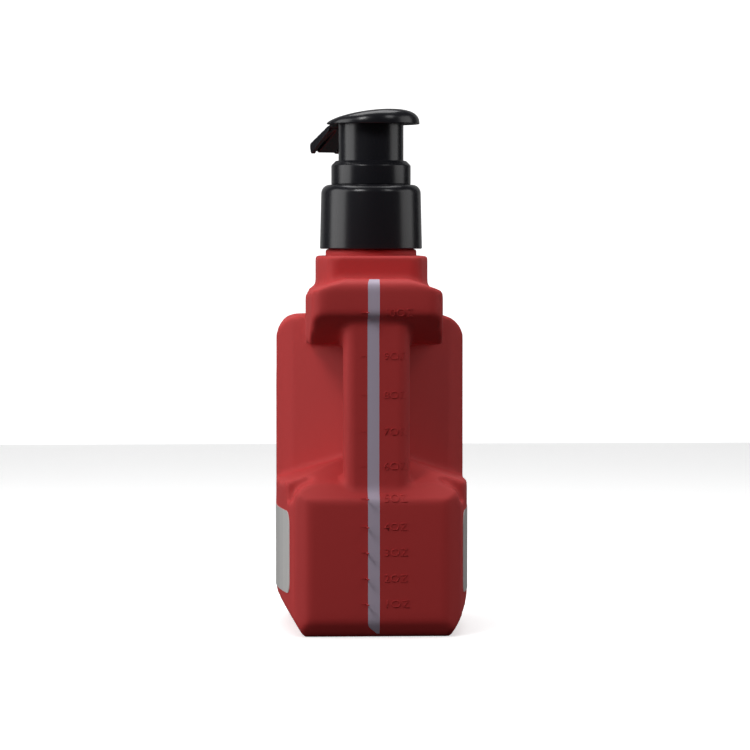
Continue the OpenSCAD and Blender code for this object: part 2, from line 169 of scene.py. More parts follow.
class FinishColours(bpy.types.PropertyGroup):
    """Colours of the finishes."""

    red: colour("Jug red", "Colour of the jug's plastic", (0.40, 0.007, 0.010))
    stripe: colour("Stripe", "Colour of the clear stripe", (0.50, 0.40, 0.52))
    black: colour("Pump black", "Colour of the pump's outer mouldings", (0.0025, 0.003, 0.0035))
    natural: colour("Natural plastic", "Colour of the undyed mouldings", (0.72, 0.72, 0.68))
    foam: colour("Gasket foam", "Colour of the gasket", (0.80, 0.79, 0.75))
    steel: colour("Steel", "Colour of the spring and the ball", (0.62, 0.63, 0.65))
    film: colour("Label film", "Colour of the label's film", (0.55, 0.50, 0.49))


class StageSizes(bpy.types.PropertyGroup):
    """Camera and light."""

    distance: length("Distance", "Distance from the camera to the handle face", 1018)
    swing: turn("Swing", "Turn of the camera to the left", 2.94)
    height: length("Camera height", "Height of the camera", 117)
    aim: length("Aim height", "Height of the point in the middle of the view", 75.9)
    lens: FloatProperty(name="Lens", description="Focal length", default=170, unit="CAMERA")
    key: power("Key light", "Power of the light on the left", 2.2)
    fill: power("Fill light", "Power of the light on the right", 0.7)
    top: power("Top light", "Power of the light overhead", 3)
    left: power("Left card", "Power of the card on the left", 2)
    right: power("Right card", "Power of the card on the right", 0.7)


# ---- Modelling steps ----
def object_mode():
    """Leaves edit mode and selects nothing."""
    if bpy.context.object and bpy.context.object.mode != "OBJECT":
        bpy.ops.object.mode_set(mode="OBJECT")
    bpy.ops.object.select_all(action="DESELECT")


def pick(piece, *more):
    """Makes a piece the active one, with more pieces selected beside it."""
    object_mode()
    for each in (piece, *more):
        each.select_set(True)
    bpy.context.view_layer.objects.active = piece


def edit_all(piece):
    """Opens a piece in edit mode with all of it selected."""
    pick(piece)
    bpy.ops.object.mode_set(mode="EDIT")
    bpy.ops.mesh.select_mode(type="VERT")
    bpy.ops.mesh.select_all(action="SELECT")


def select_where(kind, test):
    """Selects the vertices, edges or faces of the piece in edit mode that pass a test."""
    bpy.ops.mesh.select_mode(type={"verts": "VERT", "edges": "EDGE", "faces": "FACE"}[kind])
    bpy.ops.mesh.select_all(action="DESELECT")
    mesh = bmesh.from_edit_mesh(bpy.context.object.data)
    for each in getattr(mesh, kind):
        if test(each):
            each.select_set(True)
    mesh.select_flush_mode()
    bmesh.update_edit_mesh(bpy.context.object.data)


def put_in_mesh(piece):
    """Moves a piece's place, turn and size into its mesh."""
    pick(piece)
    bpy.ops.object.transform_apply(location=True, rotation=True, scale=True)


def tidy_mesh(piece):
    """Merges doubles and points the faces outwards."""
    edit_all(piece)
    bpy.ops.mesh.remove_doubles(threshold=0.002 * MM)
    bpy.ops.mesh.normals_make_consistent(inside=False)
    object_mode()


def drawn(name, points):
    """A closed wire outline: one vertex extruded from point to point, in millimetres."""
    object_mode()
    bpy.ops.mesh.primitive_plane_add(size=MM, location=Vector(points[0]) * MM)
    piece = bpy.context.object
    piece.name = name
    put_in_mesh(piece)
    edit_all(piece)
    bpy.ops.mesh.merge(type="CENTER")
    last = Vector(points[0])
    for point in (*points[1:], points[0]):
        step = (Vector(point) - last) * MM
        bpy.ops.mesh.extrude_region_move(TRANSFORM_OT_translate={"value": step})
        last = Vector(point)
    bpy.ops.mesh.select_all(action="SELECT")
    bpy.ops.mesh.remove_doubles(threshold=0.002 * MM)
    bpy.ops.mesh.select_all(action="SELECT")
    return piece


def prism(name, outline, axis, start, end):
    """An outline extruded along X, Y or Z; the outline lies in the other two axes."""
    place = {
        "X": lambda p: (start, p[0], p[1]),
        "Y": lambda p: (p[0], start, p[1]),
        "Z": lambda p: (p[0], p[1], start),
    }[axis]
    way = Vector((axis == "X", axis == "Y", axis == "Z")) * (end - start) * MM
    piece = drawn(name, [place(p) for p in outline])
    bpy.ops.mesh.edge_face_add()
    bpy.ops.mesh.extrude_region_move(TRANSFORM_OT_translate={"value": way})
    object_mode()
    tidy_mesh(piece)
    return piece


def turned(name, outline, steps=96):
    """An outline of radius and height, spun round the neck's axis."""
    piece = drawn(name, [(NECK.x + r, NECK.y, z) for r, z in outline])
    bpy.ops.mesh.spin(steps=steps, angle=math.tau, center=(NECK.x * MM, NECK.y * MM, 0), axis=UP)
    object_mode()
    tidy_mesh(piece)
    return piece


def rounded(corners, steps=8):
    """Outline whose corners [x, y, radius] are arcs."""
    points = []
    for i, (x, y, radius) in enumerate(corners):
        corner = Vector((x, y))
        before = (Vector(corners[i - 1][:2]) - corner).normalized()
        after = (Vector(corners[(i + 1) % len(corners)][:2]) - corner).normalized()
        half = before.angle(after) / 2
        if radius < 0.05 or half > math.radians(88):
            points.append((x, y))
            continue
        centre = corner + (before + after).normalized() * radius / math.sin(half)
        start = corner + before * radius / math.tan(half) - centre
        turn = math.copysign(math.pi - 2 * half, before.cross(after))
        for k in range(steps + 1):
            a = -turn * k / steps
            points.append((
                centre.x + start.x * math.cos(a) - start.y * math.sin(a),
                centre.y + start.x * math.sin(a) + start.y * math.cos(a),
            ))
    return points


def both_sides(corners):
    """Corners on the right side, repeated as their mirror image on the left."""
    return corners + [(-x, y, r) for x, y, r in reversed(corners)]


def modify(piece, kind, **settings):
    """Adds a modifier and applies it."""
    pick(piece)
    modifier = piece.modifiers.new(kind.title(), kind)
    for key, value in settings.items():
        setattr(modifier, key, value)
    bpy.ops.object.modifier_apply(modifier=modifier.name)


def combine(piece, other, operation):
    """Joins, cuts or intersects a piece with another, which is used up."""
    modify(piece, "BOOLEAN", object=other, operation=operation, solver="MANIFOLD")
    bpy.data.objects.remove(other, do_unlink=True)


def copy_of(piece, name):
    """A copy of a piece with its own mesh."""
    twin = piece.copy()
    twin.data = piece.data.copy()
    twin.name = name
    bpy.context.scene.collection.objects.link(twin)
    return twin


def smooth(piece, angle=35):
    """Smooth shading that leaves edges sharper than the angle crisp."""
    pick(piece)
    bpy.ops.object.shade_smooth_by_angle(angle=math.radians(angle))


def finished(piece, body, slot, material, *nodes):
    """Rides a piece on its body, gives it its finish and hides the nodes it stands for."""
    piece.data.materials.clear()
    piece.data.materials.append(material)
    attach(piece, body)
    if nodes:
        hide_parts(*nodes)


# ---- Finishes ----
class Wire:
    """A shader socket that takes part in sums; every operation adds a Math node."""

    def __init__(self, tree, socket):
        self.tree = tree
        self.socket = socket

    def math(self, operation, *values):
        node = self.tree.nodes.new("ShaderNodeMath")
        node.operation = operation
        for slot, value in zip(node.inputs, (self, *values)):
            if isinstance(value, Wire):
                self.tree.links.new(value.socket, slot)
            else:
                slot.default_value = value
        return Wire(self.tree, node.outputs[0])

    def __add__(self, other):
        return self.math("ADD", other)

    def __mul__(self, other):
        return self.math("MULTIPLY", other)

    def __sub__(self, other):
        return self.math("SUBTRACT", other)

    def __rsub__(self, other):
        return (self * -1).math("ADD", other)

    def above(self, limit):
        return self.math("GREATER_THAN", limit)

    def below(self, limit):
        return self.math("LESS_THAN", limit)

    __radd__ = __add__
    __rmul__ = __mul__


class Finish:
    """A material that is built node by node."""

    def __init__(self, name, **constants):
        self.material = bpy.data.materials.new(name)
        self.material.use_nodes = True
        self.tree = self.material.node_tree
        self.shader = self.tree.nodes["Principled BSDF"]
        for key, value in constants.items():
            socket = self.shader.inputs[key.replace("_", " ")]
            socket.default_value = (*value, 1) if socket.type == "RGBA" else value
        self.places = self.add("TexCoord").outputs["Object"]

    def add(self, kind, settings=None, **values):
        """Adds a node, then its settings, then the values or links of its sockets."""
        node = self.tree.nodes.new("ShaderNode" + kind)
        for key, value in (settings or {}).items():
            setattr(node, key, value)
        for key, value in values.items():
            name = key.replace("_", " ")
            socket = node.inputs[int(name[1:])] if name[0] == "i" and name[1:].isdigit() else node.inputs[name]
            self.feed(socket, value)
        return node

    def feed(self, socket, value):
        """Sets a socket, or links it to a wire or another socket."""
        if isinstance(value, Wire):
            self.tree.links.new(value.socket, socket)
        elif isinstance(value, bpy.types.NodeSocket):
            self.tree.links.new(value, socket)
        elif socket.type == "RGBA" and len(value) == 3:
            socket.default_value = (*value, 1)
        else:
            socket.default_value = value

    def give(self, name, value):
        """Feeds one of the shader's own sockets."""
        self.feed(self.shader.inputs[name], value)

    def wire(self, socket):
        return Wire(self.tree, socket)

    def noise(self, per_mm, detail=2, places=None, **more):
        """Noise with so many features in each millimetre."""
        node = self.add("TexNoise", Vector=places or self.places, Scale=per_mm / MM, Detail=detail, **more)
        return self.wire(node.outputs["Fac"])

    def stretched(self, size):
        """Object coordinates multiplied by a size on each axis."""
        return self.add("Mapping", Vector=self.places, Scale=size).outputs["Vector"]

    def specks(self, per_mm, share):
        """Small round dots: 1 on a share of the cells, 0 elsewhere."""
        cells = self.add("TexVoronoi", Vector=self.places, Scale=per_mm / MM)
        size = self.wire(self.add("TexWhiteNoise", Vector=cells.outputs["Position"]).outputs["Value"])
        radius = (size - (1 - share)) * (0.25 / share)
        return (radius - self.wire(cells.outputs["Distance"])).above(0)

    def mix(self, factor, first, second):
        """Mix of two colours."""
        node = self.add("Mix", {"data_type": "RGBA"})
        self.feed(node.inputs[0], factor)
        self.feed(node.inputs[6], first)
        self.feed(node.inputs[7], second)
        return node.outputs[2]

    def bump(self, height, distance_mm, strength=1.0):
        """Bump from a height of 0 to 1, scaled to a distance."""
        node = self.add("Bump", Strength=strength, Distance=distance_mm * MM, Height=height)
        self.give("Normal", node.outputs["Normal"])


def shade(tint, by):
    """A colour made lighter or darker."""
    return tuple(min(1, c * by) for c in tint)


def red_plastic():
    """Satin polyethylene with the mould's fine grain."""
    red = bpy.context.scene.finish_colours.red
    finish = Finish("red_plastic", IOR=1.52, Specular_IOR_Level=0.5)
    grain = finish.noise(3.2, 3)
    cloud = finish.noise(0.06, 2)
    scuffs = finish.noise(0.25, 4, finish.stretched((1, 1, 0.25)))
    tone = finish.mix(cloud, shade(red, 0.86), shade(red, 1.16))
    finish.give("Base Color", finish.mix(grain * 0.18, tone, shade(red, 1.8)))
    finish.give("Roughness", 0.36 + cloud * 0.06 + scuffs * 0.08)
    finish.bump(grain, 0.035)
    return finish.material


def clear_stripe():
    """Cloudy undyed polyethylene."""
    tint = bpy.context.scene.finish_colours.stripe
    finish = Finish(
        "clear_stripe", IOR=1.5, Subsurface_Weight=0.25, Subsurface_Radius=(0.6, 0.5, 0.6),
        Subsurface_Scale=2 * MM,
    )
    cloud = finish.noise(0.12, 3, finish.stretched((1, 1, 0.3)))
    finish.give("Base Color", finish.mix(cloud, shade(tint, 0.9), shade(tint, 1.12)))
    finish.give("Roughness", 0.3 + cloud * 0.1)
    finish.bump(finish.noise(1.6, 2), 0.02)
    return finish.material


def black_plastic():
    """Glossy black polypropylene with a little dust and fine wear."""
    black = bpy.context.scene.finish_colours.black
    finish = Finish("black_plastic", IOR=1.5, Specular_IOR_Level=0.5)
    dust = finish.specks(0.22, 0.16)
    wear = finish.noise(0.8, 5, finish.stretched((1, 1, 0.12)))
    cloud = finish.noise(0.08, 2)
    tone = finish.mix(cloud, shade(black, 0.7), shade(black, 1.6))
    finish.give("Base Color", finish.mix(dust, tone, (0.28, 0.28, 0.27)))
    finish.give("Roughness", 0.07 + cloud * 0.06 + wear * 0.07 + dust * 0.6)
    finish.bump(cloud * 0.6 + wear * 0.05 + dust * 0.3, 0.05)
    return finish.material


def plain_plastic(name, tint, roughness, grain_per_mm, relief, soft=0.0):
    """An undyed moulding with a faint grain."""
    finish = Finish(name, IOR=1.49, Subsurface_Weight=soft, Subsurface_Scale=1.5 * MM)
    cloud = finish.noise(0.2, 2)
    grain = finish.noise(grain_per_mm, 3)
    finish.give("Base Color", finish.mix(cloud, shade(tint, 0.92), shade(tint, 1.05)))
    finish.give("Roughness", roughness + grain * 0.1)
    finish.bump(grain, relief)
    return finish.material


def bright_steel():
    """Drawn steel wire and a ground ball."""
    tint = bpy.context.scene.finish_colours.steel
    finish = Finish("steel", Metallic=1.0)
    draw = finish.noise(3, 4, finish.stretched((1, 1, 0.2)))
    finish.give("Base Color", finish.mix(draw, shade(tint, 0.85), tint))
    finish.give("Roughness", 0.16 + draw * 0.14)
    return finish.material


def label_film():
    """Printed film: a pale ground with a dark field and plain bands."""
    tint = bpy.context.scene.finish_colours.film
    finish = Finish("label_film", IOR=1.5, Coat_Weight=0.3, Coat_Roughness=0.15)
    parts = finish.add("SeparateXYZ", Vector=finish.places)
    along = finish.wire(parts.outputs["Y"]) * (1 / MM)
    up = finish.wire(parts.outputs["Z"]) * (1 / MM)
    fibres = finish.noise(1.2, 3)
    field = (up + along * 0.35).below(40) * (up + along * 0.35).above(22)
    band = (up + along * 0.35).below(46) * (up + along * 0.35).above(43)
    foot = up.below(15.5)
    ground = finish.mix(fibres * 0.3, tint, shade(tint, 1.15))
    printed = finish.mix(field, ground, (0.05, 0.05, 0.055))
    printed = finish.mix(band, printed, (0.42, 0.02, 0.02))
    finish.give("Base Color", finish.mix(foot, printed, (0.30, 0.02, 0.02)))
    finish.give("Roughness", 0.32 + fibres * 0.1)
    finish.bump(fibres, 0.01)
    return finish.material


def finishes():
    """Every finish by name, made once."""
    colours = bpy.context.scene.finish_colours
    makers = {
        "red_plastic": red_plastic,
        "clear_stripe": clear_stripe,
        "black_plastic": black_plastic,
        "natural_plastic": lambda: plain_plastic("natural_plastic", colours.natural, 0.3, 1.5, 0.01, 0.2),
        "gasket_foam": lambda: plain_plastic("gasket_foam", colours.foam, 0.7, 4, 0.06),
        "steel": bright_steel,
        "label_film": label_film,
    }
    for name, maker in makers.items():
        if name not in bpy.data.materials:
            maker().name = name
    return bpy.data.materials


# ---- The jug ----
class JugForm:
    """The jug's outside, built of simple forms that are rounded together."""

    def __init__(self):
        s = bpy.context.scene.jug_sizes
        self.top = s.body_height / MM
        self.block = s.block_height / MM
        self.end_half = HALF_W - s.bow / MM
        self.bow = s.bow / MM
        self.handle_half = s.handle_width / MM / 2
        self.handle_front = FRONT + s.handle_set / MM
        self.handle_back = self.handle_front + s.handle_depth / MM
        self.nose = self.handle_back + s.grip_gap / MM
        self.corner = self.nose + s.taper / MM
        self.nose_half = s.nose_width / MM / 2
        self.tier_half = s.bulge_width / MM / 2
        self.tier_mid = self.tier_half + s.bulge_flare / MM / 2
        self.tier_top = self.top + 11.8
        self.base_top = self.top + 17.8
        self.neck_r = edge("pump_housing", 1, 0)
        self.bead_r = self.neck_r + 0.95
        self.shoulder_mid = 16.3
        self.push_up = s.push_up / MM

    def side(self, y):
        """Half the jug's width at a place along it."""
        return HALF_W - self.bow * (y / (BACK - 2.8)) ** 2

    def body(self):
        end = self.end_half
        reach = BACK - 2.9
        stations = [reach * (2 * i / 14 - 1) for i in range(1, 14)]
        right = [(end - 4, FRONT, 4), (end, FRONT + 2.9, 2)]
        right += [(self.side(y), y, 0) for y in stations]
        right += [(end, BACK - 6, 5), (end - 6, BACK, 6)]
        body = prism("jug", rounded(both_sides(right)), "Z", -2, self.top + 2)
        across = [(end - 2.8, 0, 0), (end, 4.6, 3), (HALF_W, 10.5, 4), (HALF_W, self.top, 7.8)]
        combine(body, prism("across", rounded(both_sides(across)), "Y", FRONT - 5, BACK + 5), "INTERSECT")
        lengthwise = [
            (FRONT + 2.8, 0, 0), (BACK - 2.8, 0, 0), (BACK, 4.6, 3), (BACK, self.top, 10),
            (FRONT, self.top, 0), (FRONT, 4.6, 3),
        ]
        combine(body, prism("lengthwise", rounded(lengthwise), "X", -HALF_W - 5, HALF_W + 5), "INTERSECT")
        return body

    def grip(self):
        """The room beside the handle: the body's taper and the roofed ledge below it."""
        wide, corner, half = HALF_W + 20, self.corner, HALF_W
        right = [
            (wide, FRONT - 20, 0), (wide, corner + 30, 0), (half - 1.2, corner + 4, 12),
            (half - 4.6, corner - 1, 4), (self.nose_half, self.nose, 3),
        ]
        grip = prism("grip", rounded(both_sides(right)), "Z", self.block - 40, self.top + 10)
        ledge_z = self.block + 5.3
        slope = [
            (FRONT - 20, self.block - 30, 0), (FRONT + 0.3, self.block - 4, 4),
            (FRONT + 5, self.block + 0.2, 4),
            (self.nose, ledge_z + 1.4, 3), (corner + 20, ledge_z + 8, 0), (corner + 20, self.top + 20, 0),
            (FRONT - 20, self.top + 20, 0),
        ]
        above = prism("slope", rounded(slope), "X", -wide - 5, wide + 5)
        roof = [(wide, ledge_z - 13, 0), (wide, self.top + 20, 0)]
        roof = [(self.nose_half, ledge_z + 1.6, 3)] + roof
        combine(above, prism("roof", rounded(both_sides(roof)), "Y", FRONT - 25, BACK + 25), "UNION")
        combine(grip, above, "INTERSECT")
        return grip

    def block_corners(self):
        """What takes the top corners off the block's end face."""
        end, z, r = self.end_half, self.block, 5.5
        side = [(end + 3, z - r), (end + 3, z + 3), (end - r, z + 3)]
        for step in range(9):
            a = math.radians(90 - step * 11.25)
            side.append((end - r + r * math.cos(a), z - r + r * math.sin(a)))
        right = prism("block_corner", side, "Y", FRONT - 2, FRONT + 12)
        combine(right, prism("left_corner", [(-x, y) for x, y in side], "Y", FRONT - 2, FRONT + 12), "UNION")
        return right

    def tier(self):
        """The bulge that bridges the handle and carries the neck."""
        half, mid, top = self.tier_half, self.tier_mid, self.top
        right = [(half, FRONT, 4), (mid, FRONT + 20, 8), (self.shoulder_mid, BACK - 4, 8)]
        tier = prism("tier", rounded(both_sides(right)), "Z", top - 20, top + 30)
        arch = [
            (mid + 4, top - 15, 0), (mid + 4, top + 3, 0), (half - 0.3, top + 8, 4),
            (half / 2, self.tier_top - 0.6, 8),
        ]
        combine(tier, prism("arch", rounded(both_sides(arch)), "Y", FRONT - 5, BACK + 5), "INTERSECT")
        flank = [
            (FRONT, top + 1.3, 1.2), (FRONT + 11, top - 8, 1.2), (BACK - 8, top - 8, 0), (BACK - 6, top - 2, 3),
            (NECK.y + 17, self.tier_top - 1, 8), (FRONT, self.tier_top - 0.6, 3),
        ]
        combine(tier, prism("flank", rounded(flank), "X", -mid - 10, mid + 10), "INTERSECT")
        return tier

    def handle(self):
        half = self.handle_half
        right = [(half, self.handle_front, 3.2), (half, self.handle_back, 3.5)]
        return prism("handle", rounded(both_sides(right)), "Z", self.block - 6, self.top + 4.3)

    def shoulder(self):
        """The flat-sided shoulder below the neck."""
        mid, y = self.shoulder_mid, NECK.y
        right = [(13.4, y - 24, 3), (mid, y - 10, 5), (mid, y + 11, 6), (10, y + 18, 5)]
        form = prism("shoulder", rounded(both_sides(right)), "Z", self.top - 2, self.base_top + 5)
        cap = [(mid + 4, self.top - 9, 0), (mid + 4, self.base_top, 5)]
        combine(form, prism("cap", rounded(both_sides(cap)), "Y", y - 30, y + 30), "INTERSECT")
        return form

    def underside(self):
        """The push-up in the base."""
        end = self.end_half - 7
        right = [(end, FRONT + 7, 6), (end, BACK - 7, 6)]
        return prism("underside", rounded(both_sides(right)), "Z", -3, self.push_up)

    def skin(self):
        """All forms in one, with their edges run together."""
        skin = self.body()
        combine(skin, self.grip(), "DIFFERENCE")
        combine(skin, self.block_corners(), "DIFFERENCE")
        combine(skin, self.handle(), "UNION")
        combine(skin, self.tier(), "UNION")
        combine(skin, self.shoulder(), "UNION")
        combine(skin, self.underside(), "DIFFERENCE")
        sizes = bpy.context.scene.jug_sizes
        modify(skin, "REMESH", mode="VOXEL", voxel_size=sizes.skin_step)
        modify(skin, "SMOOTH", factor=0.5, iterations=sizes.softening)
        return skin


def make_jug():
    """The hollow jug without its neck finish, with the forms that built it."""
    sizes = bpy.context.scene.jug_sizes
    form = JugForm()
    jug = form.skin()
    hollow = copy_of(jug, "hollow")
    modify(hollow, "DISPLACE", strength=-sizes.wall, mid_level=0)
    modify(hollow, "REMESH", mode="VOXEL", voxel_size=sizes.inner_step)
    combine(jug, hollow, "DIFFERENCE")
    return form, jug


# ---- The pump ----
SCREW_LEAD = 4.233  # rise of the closure's thread in one turn, in millimetres


def screw_ridge(name, root, crest, start_z, turns=1.5, root_half=1.0, crest_half=0.5):
    """A screw thread's ridge, swept up round the neck from a four-sided section."""
    sunk = root - math.copysign(0.4, crest - root)
    section = [
        (sunk, start_z - root_half), (crest, start_z - crest_half), (crest, start_z + crest_half),
        (sunk, start_z + root_half),
    ]
    ridge = drawn(name, [(r, 0, z) for r, z in section])
    bpy.ops.mesh.edge_face_add()
    bpy.ops.mesh.delete(type="ONLY_FACE")
    object_mode()
    steps = int(40 * turns)
    modify(
        ridge, "SCREW", angle=math.tau * turns, screw_offset=SCREW_LEAD * turns * MM,
        steps=steps, render_steps=steps,
    )
    edit_all(ridge)
    select_where("edges", lambda e: e.is_boundary)
    bpy.ops.mesh.edge_face_add()
    object_mode()
    ridge.location = (NECK.x * MM, NECK.y * MM, 0)
    put_in_mesh(ridge)
    tidy_mesh(ridge)
    return ridge


class HeadForm:
    """The actuator's forms, drawn with the spout along +X and the top of the pad at Z = 0."""

    def __init__(self):
        s = bpy.context.scene.pump_sizes
        self.pad = s.pad / MM
        self.back = s.pad_back / MM
        self.tilt = s.tilt
        self.rim = -s.rim / MM
        self.reach = s.reach / MM
        self.drop = -s.drop / MM
        self.tip_half = s.tip_half / MM
        self.wall = s.head_wall / MM
        self.skirt = s.skirt / MM
        self.stem = s.stem / MM
        self.low = SKIRT_Z - HEAD_TOP

    def top(self, x, y, t):
        """Height of the pad's top at a place, moved inwards by t."""
        plane = -self.tilt * (x + self.pad + self.back - 3.2) - t
        share = min(1, math.hypot(x + self.back, y) / (self.pad - t))
        return self.rim + max(plane - self.rim, 0.3) * (1 - share ** 5) ** 0.4

    def cap(self, name, t, floor):
        """The pad as a solid down to a floor: a disc of rings raised to the pad's top."""
        object_mode()
        bpy.ops.mesh.primitive_circle_add(
            vertices=128, radius=(self.pad - t) * MM, fill_type="NGON",
            location=(-self.back * MM, 0, floor * MM),
        )
        cap = bpy.context.object
        cap.name = name
        put_in_mesh(cap)
        edit_all(cap)
        bpy.ops.mesh.extrude_region_move(TRANSFORM_OT_translate={"value": (0, 0, (self.rim - floor) * MM)})
        for step in (0.05, 0.1, 0.15, 0.2, 0.3, 0.5, 0.7, 1, 1.5, 2, 2.5, 2.5):
            bpy.ops.mesh.inset(thickness=step * MM, use_even_offset=True)
        bpy.ops.mesh.poke()
        mesh = bmesh.from_edit_mesh(cap.data)
        for v in mesh.verts:
            if v.co.z > (self.rim - 0.01) * MM:
                v.co.z = self.top(v.co.x / MM, v.co.y / MM, t) * MM
        bmesh.update_edit_mesh(cap.data)
        object_mode()
        tidy_mesh(cap)
        return cap

    def spout(self, name, t, floor=None):
        """The spout: a sloping channel's outside, moved inwards by t."""
        tip, drop = self.reach - t, self.drop
        side = [
            (4, self.rim - 0.3, 0), (12.4, self.rim - 0.4, 1.5), (13.6, -6.9, 1), (tip - 1.7, drop, 0),
            (tip, drop + 2.4, 0.8), (tip - 0.5, drop + 3, 0.6),
            (self.pad - self.back + 0.8, self.rim - 0.1, 1), (9, self.rim + 1, 0), (4, self.rim + 1, 0),
        ]
        if t:
            side = [
                (4, floor, 0), (tip, floor, 0), (tip, drop + 2.4 - t, 0.4), (tip - 0.8, drop + 2.9 - t, 0.4),
                (self.pad - self.back + 0.6, self.rim - t, 1), (4, self.rim - t, 0),
            ]
        half = self.tip_half
        body = prism(name, rounded(side, 5), "Y", -12, 12)
        right = [(0, -half - 2.4 + t, 0), (tip, -half + t, 1.6), (tip, half - t, 1.6), (0, half + 2.4 - t, 0)]
        combine(body, prism("spout_plan", rounded(right, 6), "Z", -40, 5), "INTERSECT")
        return body

    def ring(self, name, r_in, r_out, low, high):
        ring = turned(name, [(r_in, low), (r_out, low), (r_out, high), (r_in, high)])
        ring.location = (-NECK.x * MM, -NECK.y * MM, 0)
        put_in_mesh(ring)
        return ring

    def duct(self, name, half, t):
        """The passage under the spout's roof."""
        tip, drop = self.reach, self.drop
        side = [
            (6, self.rim - 0.9 + t, 0), (13.4, self.rim - 1.5 + t, 0), (tip - 2.6, drop + 0.4 + t, 0),
            (tip - 0.8 - t, drop + 1.6, 0), (14, self.rim - 0.6 - t, 0), (6, self.rim + 0.3 - t, 0),
        ]
        return prism(name, side, "Y", -half, half)

    def head(self):
        head = self.cap("head", 0, self.rim)
        combine(head, self.spout("spout", 0), "UNION")
        hollow = self.cap("head_hollow", self.wall, -30)
        combine(hollow, self.spout("spout_hollow", self.wall, -30), "UNION")
        combine(head, hollow, "DIFFERENCE")
        inner = self.ring("skirt", self.skirt - self.wall, self.skirt, self.low, 1)
        combine(inner, self.ring("boss", 0, self.stem + 1.4, -10.4, 1), "UNION")
        combine(inner, self.cap("roof", 0.5, -30), "INTERSECT")
        combine(head, inner, "UNION")
        combine(head, self.duct("duct", 3.2, 0), "UNION")
        combine(head, self.ring("socket", 0, self.stem + 0.05, -20, -5.3), "DIFFERENCE")
        return head


CAP_SHARE = 0.7  # a capital's share of the text's size

# Heights of the raised volume marks, one for each ounce, in millimetres
MARK_HEIGHTS = (9.8, 17.2, 24.7, 32.1, 40.2, 49.4, 59.4, 70.0, 81.2, 93.9)


# ---- Operators ----
class JUG_OT_stage(bpy.types.Operator):
    """Adds the floor, the backdrop, the lights and the camera."""

    bl_idname = "pumpjug.stage"
    bl_label = "Stage"

    def execute(self, context):
        s = context.scene.stage_sizes
        floor = prism("floor", [(-2500, -20), (2500, -20), (2500, 0), (-2500, 0)], "Y", -2500, 2500)
        paper = Finish("paper", Specular_IOR_Level=0.0, Emission_Strength=1.0)
        fibre = paper.noise(0.02, 3)
        seen = paper.add("LightPath").outputs["Is Camera Ray"]
        pale = paper.mix(fibre, (0.88, 0.88, 0.88), (0.92, 0.92, 0.92))
        paper.give("Emission Color", paper.mix(seen, (0, 0, 0), (0.55, 0.55, 0.55)))
        paper.give("Base Color", paper.mix(seen, (0.08, 0.08, 0.08), pale))
        paper.give("Roughness", 0.7 + fibre * 0.1)
        floor.data.materials.append(paper.material)
        screen = prism("screen", [(-900, 0), (900, 0), (900, 900), (-900, 900)], "Y", 900, 905)
        glow = Finish("lit_screen", Emission_Strength=1.0)
        seen = glow.add("LightPath").outputs["Is Camera Ray"]
        glow.give("Emission Color", glow.mix(seen, (0.12, 0.12, 0.12), (1, 1, 1)))
        glow.give("Roughness", 0.9)
        screen.data.materials.append(glow.material)
        for name, power, place, size in (
            ("key", s.key, (-420, -640, 640), (260, 260)),
            ("second", s.fill, (520, -560, 640), (200, 260)),
            ("left_box", s.left, (-620, -60, 240), (500, 560)),
            ("right_box", s.right, (620, -20, 240), (420, 420)),
            ("overhead", s.top, (0, 120, 700), (600, 400)),
        ):
            object_mode()
            bpy.ops.object.light_add(type="AREA", location=Vector(place) * MM)
            light = context.object
            light.name = name
            light.data.shape = "RECTANGLE"
            light.data.size, light.data.size_y = size[0] * MM, size[1] * MM
            light.data.energy = power
            aim = Vector((0, 0, 80)) * MM - light.location
            light.rotation_euler = aim.to_track_quat("-Z", "Y").to_euler()
        world = bpy.data.worlds.new("studio")
        world.use_nodes = True
        tree = world.node_tree
        dim = tree.nodes["Background"]
        dim.inputs["Color"].default_value = (0.9, 0.92, 1, 1)
        dim.inputs["Strength"].default_value = 0.02
        bright = tree.nodes.new("ShaderNodeBackground")
        bright.inputs["Color"].default_value = (0.97, 0.97, 0.97, 1)
        both = tree.nodes.new("ShaderNodeMixShader")
        tree.links.new(tree.nodes.new("ShaderNodeLightPath").outputs["Is Camera Ray"], both.inputs[0])
        tree.links.new(dim.outputs[0], both.inputs[1])
        tree.links.new(bright.outputs[0], both.inputs[2])
        tree.links.new(both.outputs[0], tree.nodes["World Output"].inputs["Surface"])
        context.scene.world = world
        context.scene.view_settings.view_transform = "Standard"
        near = Vector((-0.8 * MM, FRONT * MM, s.aim))
        object_mode()
        bpy.ops.object.camera_add()
        camera = context.object
        camera.location = (
            near.x - s.distance * math.sin(s.swing), near.y - s.distance * math.cos(s.swing), s.height
        )
        camera.rotation_euler = (near - camera.location).to_track_quat("-Z", "Y").to_euler()
        camera.data.lens = s.lens
        camera.data.sensor_width = 36
        context.scene.camera = camera
        return {"FINISHED"}


